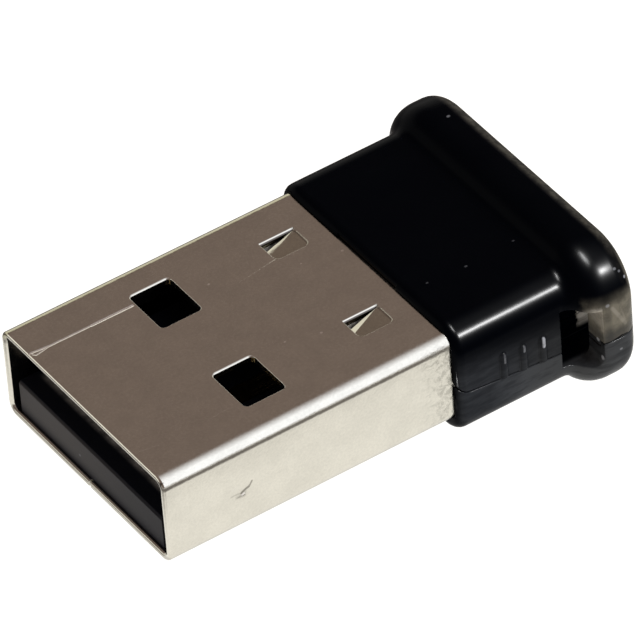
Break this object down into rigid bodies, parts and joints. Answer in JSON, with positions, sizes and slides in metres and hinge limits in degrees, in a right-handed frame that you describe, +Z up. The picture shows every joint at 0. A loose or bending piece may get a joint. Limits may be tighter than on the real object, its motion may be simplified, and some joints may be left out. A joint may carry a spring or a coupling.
{
  "type": "usb bluetooth adapter",
  "caption": "Short USB radio adapter: a bright metal type A plug and a smoke-black two-part housing with a rounded rear flange, grip ribs and a lanyard opening at one corner.",
  "frame": {"origin": "centre of the whole adapter's box in plan, on the plane of the housing flange's lowest face", "axes": "+X from the plug's mouth to the rear of the housing, +Y to the side without the lanyard opening, +Z up through the plug's top face"},
  "size_m": [0.0222, 0.015, 0.0072],
  "materials": {
    "nickel_sheet": "bright nickel plate on rolled steel sheet, satin on top, with fine scratches",
    "insulator_plastic": "blue-black moulded plastic, satin",
    "gold_contact": "thin gold flash on brass strip",
    "smoke_plastic": "glossy smoke-black translucent plastic, olive where it is thin, with dust specks",
    "board_laminate": "green solder mask on glass laminate",
    "chip_resin": "matt black moulding resin",
    "crystal_lid": "plated lid on a ceramic base",
    "pale_ceramic": "matt pale ceramic with tinned ends",
    "clear_resin": "clear epoxy lens on a pale base",
    "dark_ceramic": "matt dark ceramic with tinned ends",
    "tan_ceramic": "matt tan ceramic with tinned ends",
    "solder": "bright reflowed solder"
  },
  "bodies": {
    "root": {"plug_shell": "nickel_sheet", "plug_insulator": "insulator_plastic", "contact_power": "gold_contact", "contact_data_minus": "gold_contact", "contact_data_plus": "gold_contact", "contact_ground": "gold_contact", "upper_cover": "smoke_plastic", "lower_cover": "smoke_plastic", "circuit_board": "board_laminate", "radio_chip": "chip_resin", "memory_chip": "chip_resin", "crystal": "crystal_lid", "voltage_regulator": "chip_resin", "surge_protector": "chip_resin", "band_filter": "pale_ceramic", "chip_antenna": "pale_ceramic", "indicator_light": "clear_resin", "power_bead": "dark_ceramic", "capacitors": "tan_ceramic", "resistors": "dark_ceramic", "contact_joints": "solder", "shell_joints": "solder"}
  },
  "joints": []
}
